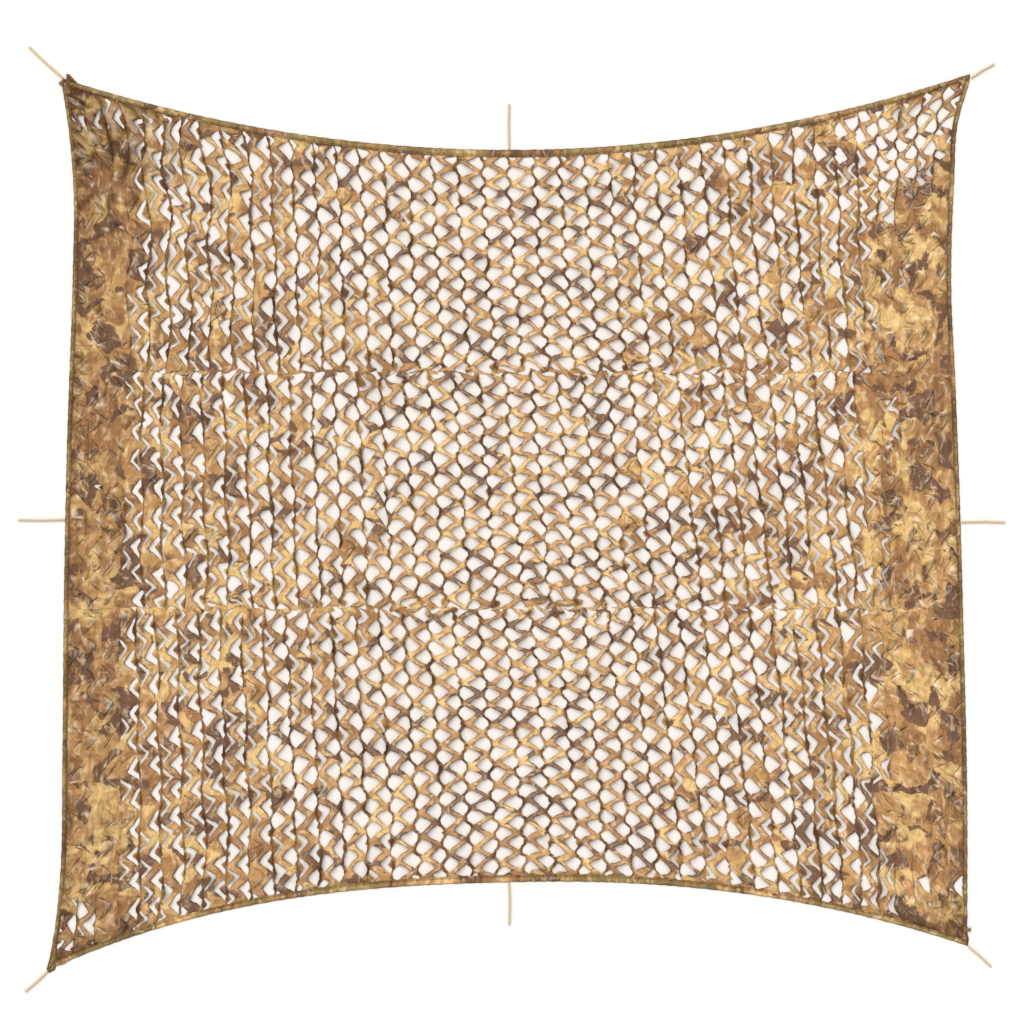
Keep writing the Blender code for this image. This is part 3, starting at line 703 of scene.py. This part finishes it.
# The folded tape in section: share of its breadth in from the outer line, height, and painted shade, darkest
# at the fold, in the stitch groove and at the inner edge, with some darkening of the whole tape besides.
TAPE_SECTION = np.array((
    (0.93, 0.0005, 0.50), (0.55, 0.0005, 0.30), (0.16, 0.0005, 0.30), (0.05, 0.0009, 0.60),
    (0.00, 0.0019, 0.80), (0.03, 0.0030, 0.70), (0.12, 0.0037, 0.35), (0.30, 0.0040, 0.22),
    (0.52, 0.0038, 0.22), (0.66, 0.0032, 0.40), (0.72, 0.0029, 0.80), (0.78, 0.0032, 0.45),
    (0.90, 0.0035, 0.42), (0.98, 0.0029, 0.80),
))
TOP_OF_TAPE = 5              # first point of the section on top
STITCH_SHARE = 0.72
STITCH_STEP = 0.0080
STITCH = (0.0055, 0.0011)    # length and thickness
BUNCH_RINGS, BUNCH_SIDES = 17, 72
THREAD_RINGS, THREAD_SIDES = 5, 3
TURNED = (0, 3, 2, 1)        # order of a face's corners when it is turned over


def run_along(line):
    """Running length along a line of points, and its unit direction at each."""
    along = np.gradient(line, axis=0)
    along /= np.linalg.norm(along, axis=1)[:, None]
    return np.concatenate([[0], np.cumsum(np.linalg.norm(np.diff(line, axis=0), axis=1))]), along


def frame_of(line):
    """Running length and unit normals of a flat line; the normals point to its right."""
    gone, along = run_along(line)
    return gone, np.column_stack([along[:, 1], -along[:, 0]])


def along_line(places, gone, values):
    """Values given at each point of a line, at other places along it."""
    return np.column_stack([np.interp(places, gone, column) for column in values.T])


def tube_faces(rings, sides):
    """Faces between rings of points, each of which is closed on itself."""
    index = np.arange(rings * sides).reshape(rings, sides)
    following = np.roll(index, -1, axis=1)
    return np.stack([index[:-1], index[1:], following[1:], following[:-1]], axis=2).reshape(-1, 4)


def puckers(gone, seed):
    """Uneven waves along a gathered tape, about -1 to 1: two sines whose phases drift."""
    return (np.sin(2 * np.pi * gone / 0.021 + 2.2 * np.sin(7 * gone + seed) + seed)
            + 0.7 * np.sin(2 * np.pi * gone / 0.0127 + 1.7 * np.sin(11 * gone))) / 1.7


def tape_shell(line, breadth, seed, base_darkening):
    """The folded tape as a closed shell: TAPE_SECTION, half a layer out and half a layer in, carried along
    its outer line. Puckers lift and crimp the top, most of all at the stitches and the inner edge.

    Gives points, faces, a UV in metres for each point, and the shade of each point: painted shade from the
    section and in the puckers' hollows, darker bands along the tape, and the piece's base darkening."""
    gone, inward = frame_of(line)
    share, height, shade = TAPE_SECTION.T
    wave = puckers(gone, seed)[:, None]
    on_top = (np.arange(len(share)) >= TOP_OF_TAPE) * ramp(share, 0.05, 0.8)
    uneven = 0.0006 * np.sin(gone * 150 + 2 * np.sin(gone * 31))[:, None]
    u = breadth[:, None] * share + on_top * 0.0012 * wave + uneven
    z = height + on_top * 0.0006 * (wave + 1) * (1 + 0.5 * np.sin(23 * gone + seed))[:, None]
    slope = np.stack([np.gradient(u, axis=1), np.gradient(z, axis=1)], axis=2)
    slope /= np.linalg.norm(slope, axis=2)[:, :, None]
    half = TAPE_LAYER / 2
    outer = (u - half * slope[:, :, 1], np.maximum(z - half * slope[:, :, 0], 0.0001))
    inner = (u + half * slope[:, :, 1], z + half * slope[:, :, 0])
    ring_u = np.concatenate([outer[0], inner[0][:, ::-1]], axis=1)
    ring_z = np.concatenate([outer[1], inner[1][:, ::-1]], axis=1)
    flat = line[:, None, :] + ring_u[:, :, None] * inward[:, None, :]
    points = np.concatenate([flat, ring_z[:, :, None]], axis=2)

    count, sides = ring_u.shape
    pairs = np.arange(sides // 2 - 1)
    caps = np.stack([pairs, pairs + 1, sides - 2 - pairs, sides - 1 - pairs], axis=1)
    faces = np.concatenate([tube_faces(count, sides), caps, caps[:, ::-1] + (count - 1) * sides])
    across = np.concatenate([[0], np.cumsum(np.hypot(np.diff(share) * LONG_TAPE_WIDE, np.diff(height)))])
    across = np.concatenate([across, across[::-1]])
    uv = np.stack(np.broadcast_arrays(gone[:, None] + seed, across[None, :] + 0.3 * seed), axis=2)
    # Darker bands along the tape; then painted shade from the section and in the puckers' hollows, over the
    # base darkening.
    bands = 0.13 * (np.sin(13 * gone + seed) + np.sin(21.7 * gone + 2 * seed))[:, None]
    dips = np.clip(shade + base_darkening + bands + 0.25 * on_top * np.clip(-wave, 0, 1), 0.05, 0.95)
    dips = np.concatenate([dips, dips[:, ::-1]], axis=1)
    return points.reshape(-1, 3), faces, uv.reshape(-1, 2), dips.ravel()


def bunch_shell(outline, thick, tip, pleats, seed, base_darkening):
    """Bunched cloth at a corner, as a closed flat cushion: rings shrink from the outline to its middle, and
    the top swells by the root of the distance in, with pleats that fan out from the tip."""
    outline = np.array(outline)
    loop = np.vstack([outline, outline[:1]])
    gone, _ = run_along(loop)
    steps = np.linspace(0, gone[-1], BUNCH_SIDES + 1)[:-1]
    edge = along_line(steps, gone, loop)
    edge += 0.0007 * np.column_stack([np.sin(steps * 900 + seed), np.cos(steps * 1130 + seed)])
    middle = outline.mean(axis=0)
    v = np.linspace(-1, 1, BUNCH_RINGS)
    out = 1 - np.abs(v)
    flat = middle + out[:, None, None] * (edge - middle)
    swell = np.sqrt(np.clip(1 - out**2, 0, 1))[:, None]
    away = np.hypot(*(flat - tip).transpose(2, 0, 1))
    angle = np.arctan2(*(flat - tip).transpose(2, 1, 0)).T
    fan = np.cos(pleats * angle + 2 * np.sin(3 * angle + seed)) * ramp(away, 0.002, 0.014)
    on_top = (v > 0)[:, None]
    z = np.where(on_top, 0.0016 + thick * swell * (1 + 0.28 * fan + 0.12 * np.sin(away * 420 + seed)),
                 0.0016 - 0.0012 * swell)
    points = np.concatenate([flat, z[:, :, None]], axis=2)
    faces = tube_faces(BUNCH_RINGS, BUNCH_SIDES)[:, TURNED]
    # Painted shade in the pleats' hollows and round the thin rim, over the piece's base darkening.
    shade = base_darkening + on_top * (0.45 * np.clip(-fan, 0, 1)) + 0.30 * (1 - swell)
    uv = flat.reshape(-1, 2) * (1.0, 1.3) + seed
    return points.reshape(-1, 3), faces, uv, np.broadcast_to(shade, z.shape).ravel()


def frayed_ends(start, heading, spread, count, length, seed):
    """Loose threads: thin three-sided spikes which leave the start in a fan and bend a little."""
    random = np.random.default_rng(seed)
    angle = heading + spread * random.uniform(-1, 1, count)
    reach = length * random.uniform(0.4, 1.0, count)
    t = np.linspace(0, 1, THREAD_RINGS)[None, :]
    turn = angle[:, None] + random.normal(0, 0.5, count)[:, None] * t
    spine = np.stack([t * reach[:, None] * np.cos(turn), t * reach[:, None] * np.sin(turn)], axis=2)
    spine = spine + np.array(start) + random.normal(0, 0.0020, (count, 1, 2))
    height = 0.0022 + random.uniform(0, 0.0020, count)[:, None] * (1 - t)
    radius = 0.0011 * (1 - 0.85 * t)
    round_it = 2 * np.pi * np.arange(THREAD_SIDES) / THREAD_SIDES
    across = np.stack([-np.sin(turn), np.cos(turn)], axis=2)
    flat = spine[:, :, None, :] + (radius[..., None] * np.cos(round_it))[..., None] * across[:, :, None, :]
    z = height[:, :, None] + radius[..., None] * np.sin(round_it)
    points = np.concatenate([flat, z[..., None]], axis=3).reshape(-1, 3)
    first = THREAD_RINGS * THREAD_SIDES * np.arange(count)
    sides = tube_faces(THREAD_RINGS, THREAD_SIDES)[:, TURNED] + first[:, None, None]
    start_ring = first[:, None] + np.arange(THREAD_SIDES)
    caps = np.concatenate([start_ring[:, ::-1], start_ring + (THREAD_RINGS - 1) * THREAD_SIDES])
    faces = [*sides.reshape(-1, 4).tolist(), *caps.tolist()]
    return points, faces, points[:, :2] + seed, np.full(len(points), 0.35)


def stitch_shells(line, breadth, seed):
    """The stitches as small closed lozenges, six points each, in a row along the tape."""
    gone, inward = frame_of(line)
    places = np.arange(0.012, gone[-1] - 0.012, STITCH_STEP)
    u = np.interp(places, gone, breadth) * STITCH_SHARE
    start, side = along_line(places, gone, line), along_line(places, gone, inward)
    along = np.column_stack([-side[:, 1], side[:, 0]])
    middle = start + (u + 0.0012 * puckers(places, seed))[:, None] * side
    z = 0.0035 + 0.0009 * (puckers(places, seed) + 1)
    length, thick = STITCH
    corners = np.array(((-1, 0, 0), (0, -1, 0), (0, 0, 1), (0, 1, 0), (0, 0, -1), (1, 0, 0)))
    flat = (middle[:, None, :] + corners[None, :, :1] * length / 2 * along[:, None, :]
            + corners[None, :, 1:2] * thick / 2 * side[:, None, :])
    height = z[:, None] + corners[None, :, 2] * thick / 2
    points = np.concatenate([flat, height[:, :, None]], axis=2).reshape(-1, 3)
    ring = np.array(((1, 2), (2, 3), (3, 4), (4, 1)))
    faces = np.concatenate([np.insert(ring, 0, 0, axis=1), np.insert(ring[:, ::-1], 0, 5, axis=1)])
    faces = (faces[None] + 6 * np.arange(len(places))[:, None, None]).reshape(-1, 3)
    return points, faces


def joined(name, shells):
    """Shells put together as one mesh, with their UV and shade."""
    points, faces, uvs, shades, start = [], [], [], [], 0
    for shell_points, shell_faces, uv, shade in shells:
        points.append(shell_points)
        faces += [[start + corner for corner in face] for face in np.array(shell_faces, object).tolist()]
        uvs.append(uv)
        shades.append(shade)
        start += len(shell_points)
    mesh = bpy.data.meshes.new(name)
    mesh.from_pydata(np.concatenate(points), [], faces)
    store(mesh, "flat_cloth", np.concatenate(uvs), shaded=np.concatenate(shades))
    whole = bmesh.new()
    whole.from_mesh(mesh)
    bmesh.ops.remove_doubles(whole, verts=whole.verts, dist=1e-6)
    bmesh.ops.recalc_face_normals(whole, faces=whole.faces)
    whole.to_mesh(mesh)
    whole.free()
    mesh.shade_smooth()
    return mesh


def long_line(outer, start, end):
    """Points along a long tape's outer line, evenly spaced in X."""
    x = np.linspace(start, end, round(abs(end - start) / TAPE_STATION))
    return np.column_stack([x, outer(x)])


def side_line(stations, start, end):
    """Points along a side tape's outer line, evenly spaced in Y."""
    y = np.linspace(start, end, round(abs(end - start) / TAPE_STATION))
    return np.column_stack([side_edge(y, stations), y])


def long_breadth(line):
    """Breadth of a long tape: widest at the middle, and narrower towards both corners."""
    off_middle = np.abs(np.linspace(-1, 1, len(line)))
    return LONG_TAPE_CORNER + (LONG_TAPE_WIDE - LONG_TAPE_CORNER) * (1 - off_middle**1.6)


top_line = long_line(top_outer, -1.4400, 1.5150)
bottom_line = long_line(bottom_outer, 1.5100, -1.4950)
left_line = side_line(LEFT_SIDE, -1.4300, 1.4560)
right_line = side_line(RIGHT_SIDE, 1.4600, -1.3700)
# The bunched ends of a tape: outline, thickness, the tip from which its pleats fan out, their number, seed,
# and how much darker the whole piece is.
BUNCHES = {
    "binding_top": (
        (((-1.474, 1.45), (-1.464, 1.461), (-1.45, 1.464), (-1.43, 1.45), (-1.433, 1.438), (-1.448, 1.415),
          (-1.464, 1.413), (-1.469, 1.433)), 0.0046, (-1.4669, 1.4669), 11, 1.3, 0.45),
        (((-1.4585, 1.48), (-1.455, 1.484), (-1.449, 1.4825), (-1.44, 1.473), (-1.423, 1.4545),
          (-1.442, 1.45), (-1.458, 1.464)), 0.0058, (-1.455, 1.484), 9, 2.9, 0.5),
        (((-1.4835, 1.455), (-1.481, 1.447), (-1.47, 1.441), (-1.456, 1.454), (-1.459, 1.467),
          (-1.468, 1.466)), 0.0062, (-1.483, 1.451), 9, 2.9, 0.55),
        (((1.5238, 1.4834), (1.5213, 1.457), (1.511, 1.428), (1.497, 1.433), (1.493, 1.456), (1.48, 1.457),
          (1.478, 1.47), (1.504, 1.477)), 0.0044, (1.523, 1.482), 13, 4.1, 0.35),
    ),
    "binding_bottom": (
        (((1.5198, -1.368), (1.5172, -1.3943), (1.489, -1.385), (1.489, -1.372), (1.498, -1.364),
          (1.5, -1.346), (1.512, -1.344)), 0.0046, (1.517, -1.393), 11, 5.3, 0.6),
        (((-1.4859, -1.4438), (-1.4958, -1.4735), (-1.5156, -1.4835), (-1.5238, -1.4702), (-1.514, -1.438),
          (-1.506, -1.396), (-1.49, -1.398), (-1.484, -1.426)), 0.0048, (-1.52, -1.478), 12, 6.2, 0.45),
        (((-1.49, -1.46), (-1.46, -1.4515), (-1.456, -1.44), (-1.486, -1.444)), 0.0042, (-1.49, -1.46), 7,
          7.7, 0.4),
        (((1.507, -1.322), (1.515, -1.333), (1.527, -1.34), (1.5265, -1.3425), (1.516, -1.345),
          (1.514, -1.36), (1.5, -1.356), (1.499, -1.33)), 0.005, (1.527, -1.341), 8, 8.1, 0.65),
    ),
}
ends = {name: [bunch_shell(*bunch) for bunch in bunches] for name, bunches in BUNCHES.items()}
ends["binding_bottom"].append(frayed_ends((1.5180, -1.3410), 0.05, 0.45, 16, 0.014, 8))
SIDES = ("binding_left", "binding_right")
BINDINGS = {     # outer line, breadth along it, seed
    "binding_top": (top_line, long_breadth(top_line), 0.7),
    "binding_bottom": (bottom_line, long_breadth(bottom_line), 1.9),
    "binding_left": (left_line, np.full(len(left_line), SIDE_TAPE_WIDE), 3.1),
    "binding_right": (right_line, np.full(len(right_line), SIDE_TAPE_WIDE), 4.7),
}
tape_cloth = printed_cloth("printed_binding_tape", olive=0.75)


def thread_material():
    """Brown sewing thread: uneven colour and fine fibres from noise over the piece's own place."""
    material, tree, shader = new_material("brown_thread", {"Roughness": 0.6})
    place = add_node(tree, "TexCoord", {}, "Object")
    uneven, fibres = (add_node(tree, "TexNoise", {"Vector": place, "Scale": scale}) for scale in (60, 1500))
    colour = over(tree, (0.13, 0.075, 0.03), uneven, (0.29, 0.185, 0.08))
    relief = add_node(tree, "Bump", {"Height": fibres, "Distance": 0.0002})
    wire(tree, shader, {"Base Color": colour, "Normal": relief})
    return material


thread = thread_material()
for name, (line, breadth, seed) in BINDINGS.items():
    stitch_points, stitch_faces = stitch_shells(line, breadth, seed)
    stitching = bpy.data.meshes.new(name + "_stitches")
    stitching.from_pydata(stitch_points, [], stitch_faces)
    stitching.materials.append(thread)
    # The side tapes are darker all over.
    base_darkening = 0.25 if name in SIDES else 0
    tape = joined(name + "_tape", [tape_shell(line, breadth, seed, base_darkening), *ends.get(name, [])])
    tape.materials.append(tape_cloth)
    for mesh in (tape, stitching):
        piece = add_object(mesh.name, mesh)
        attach(piece, "root")
    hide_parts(name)


# ------------------------------------------------------------------------------------------------
# Tie cords. Thin beige fibre cord, twisted from three strands, cut to a free end. One leaves each corner and
# the middle of each edge, straight out over the floor.

CORD_THICK = 0.008
CORD_BOW = 0.0015
CORDS = {        # start at the binding, cut end
    "cord_top_left": ((-1.4677, 1.4676), (-1.5815, 1.5725)),
    "cord_top": ((0.0023, 1.2333), (0.0023, 1.3844)),
    "cord_top_right": ((1.5254, 1.4695), (1.6028, 1.5164)),
    "cord_right": ((1.4925, 0.0050), (1.6393, 0.0045)),
    "cord_bottom_right": ((1.5178, -1.3949), (1.5929, -1.4619)),
    "cord_bottom": ((0.0023, -1.1836), (0.0028, -1.3246)),
    "cord_bottom_left": ((-1.5205, -1.4777), (-1.5947, -1.5444)),
    "cord_left": ((-1.4615, 0.0130), (-1.6178, 0.0120)),
}
STRANDS = 3
LAY_LENGTH = 0.022       # one full turn of the strands
CORD_RINGS = 90
CORD_SIDES = 24
PATH_POINTS = 24


def cord_route(start, end, count):
    """Points on the cord's centreline: straight from start to end with one soft sideways bow."""
    start, end = np.array(start), np.array(end)
    along = end - start
    aside = np.array((-along[1], along[0])) / np.hypot(*along)
    share = np.linspace(0, 1, count)[:, None]
    flat = start + share * along + CORD_BOW * np.sin(np.pi * share) ** 2 * aside
    return np.column_stack([flat, np.full(count, CORD_THICK / 2)])


def cord_mesh(name, start, end):
    """A tube round the route. Its radius swells at each of three strands, which turn as they go along."""
    line = cord_route(start, end, CORD_RINGS)
    gone, along = run_along(line)
    aside = np.column_stack([-along[:, 1], along[:, 0], np.zeros(len(line))])
    up = np.array((0.0, 0.0, 1.0))
    angle = np.linspace(0, 2 * np.pi, CORD_SIDES, endpoint=False)[None, :]
    strand = np.abs(np.cos(STRANDS * (angle - 2 * np.pi * gone[:, None] / LAY_LENGTH) / 2))
    end_taper = np.clip(np.minimum(gone, gone[-1] - gone) / (0.25 * CORD_THICK), 0, 1)[:, None]
    radius = CORD_THICK / 2 * (0.74 + 0.26 * np.sqrt(strand)) * (0.55 + 0.45 * np.sqrt(end_taper))
    ring = radius[..., None] * (np.cos(angle)[..., None] * aside[:, None, :] + np.sin(angle)[..., None] * up)
    points = (line[:, None, :] + ring).reshape(-1, 3)
    end_ring = np.arange(CORD_SIDES)
    faces = tube_faces(CORD_RINGS, CORD_SIDES).tolist()
    faces += [end_ring.tolist(), (end_ring[::-1] + len(points) - CORD_SIDES).tolist()]
    mesh = bpy.data.meshes.new(name)
    mesh.from_pydata(points, [], faces)
    flat = np.stack(np.broadcast_arrays(gone[:, None], angle * CORD_THICK / 2), axis=2)
    store(mesh, "round_cord", flat, groove=1 - np.sqrt(strand))
    mesh.shade_smooth()
    return mesh


def cord_material():
    """Beige fibre: painted shade in the twist's grooves, with fine threads along the strands."""
    material, tree, shader = new_material("twisted_cord", {"Roughness": 0.75, "Specular IOR Level": 0.2})
    uv = add_node(tree, "UVMap", {}, uv_map="round_cord")
    along_strand = add_node(tree, "Mapping", {"Vector": uv, "Scale": (1, 6, 1),
                                              "Rotation": (0, 0, np.radians(-48))})
    fibres = add_node(tree, "TexNoise", {"Vector": along_strand, "Scale": 260, "Detail": 3})
    groove = add_node(tree, "Attribute", {}, "Fac", attribute_name="groove")
    colour = (0.50, 0.37, 0.20)
    for value, low, high, top in ((fibres, 0.35, 0.65, (0.82, 0.67, 0.45)),
                                  (groove, 0.0, 1.2, (0.26, 0.16, 0.07))):
        factor = add_node(tree, "MapRange", {"Value": value, "From Min": low, "From Max": high})
        colour = over(tree, colour, factor, top)
    relief = add_node(tree, "Bump", {"Height": fibres, "Strength": 0.5, "Distance": 0.0004})
    wire(tree, shader, {"Base Color": colour, "Normal": relief})
    return material


cord_fibre = cord_material()
for name, (start, end) in CORDS.items():
    mesh = cord_mesh(name, start, end)
    mesh.materials.append(cord_fibre)
    piece = add_object(name + "_twist", mesh)
    route = cord_route(start, end, PATH_POINTS)
    length = float(run_along(route)[0][-1])
    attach(piece, "root")
    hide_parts(name)


# ------------------------------------------------------------------------------------------------
# Floor, light and camera. The net lies on a plain white floor under soft studio light, and the camera looks
# straight down on it through a long lens.

# The floor is a little warmer and darker under the net than round it, so it has a face of its own there,
# whose rim lies below the binding. The difference is partly painted shade with warm bounce light from the
# net, and partly a floor that is creamier there than round it.
FLOOR_REACH = 20         # how many times the net's own size the floor is
rim = np.vstack([line + 0.008 * frame_of(line)[1] for line in (top_line, right_line, bottom_line, left_line)])
rim = rim[::-10]
index = np.arange(len(rim))
following = np.roll(index, -1)
ring = np.column_stack([following, index, index + len(rim), following + len(rim)])
floor_mesh = bpy.data.meshes.new("floor")
floor_mesh.from_pydata(np.pad(np.vstack([rim, FLOOR_REACH * rim]), ((0, 0), (0, 1))), [],
                       [index.tolist(), *ring.tolist()])
floor = add_object("floor", floor_mesh)
for name, colour in (("white_floor", (0.75, 0.735, 0.72, 1)), ("floor_under_net", (0.743, 0.690, 0.642, 1))):
    floor_mesh.materials.append(new_material(name, {"Base Color": colour, "Roughness": 0.9})[0])
floor_mesh.polygons[0].material_index = 1

world = bpy.data.worlds.new("studio")
bpy.context.scene.world = world
world.use_nodes = True
wire(world.node_tree, world.node_tree.nodes["Background"], {"Color": (1, 1, 1, 1), "Strength": 0.82})

key = bpy.data.lights.new("key", "SUN")
key.energy = 2.3
key.angle = np.radians(60)
add_object("key", key).rotation_euler = (np.radians(40), 0, np.radians(215))

FRAME_WIDE = 3.3792      # what the camera shows across, on the floor
CAMERA_HEIGHT = 15.0
lens = bpy.data.cameras.new("camera")
lens.sensor_width = 36.0
lens.lens = lens.sensor_width * CAMERA_HEIGHT / FRAME_WIDE
lens.clip_end = 100.0
camera = add_object("camera", lens)
camera.location = (0.0124, 0.0380, CAMERA_HEIGHT)
bpy.context.scene.camera = camera
bpy.context.scene.view_settings.view_transform = "Standard"
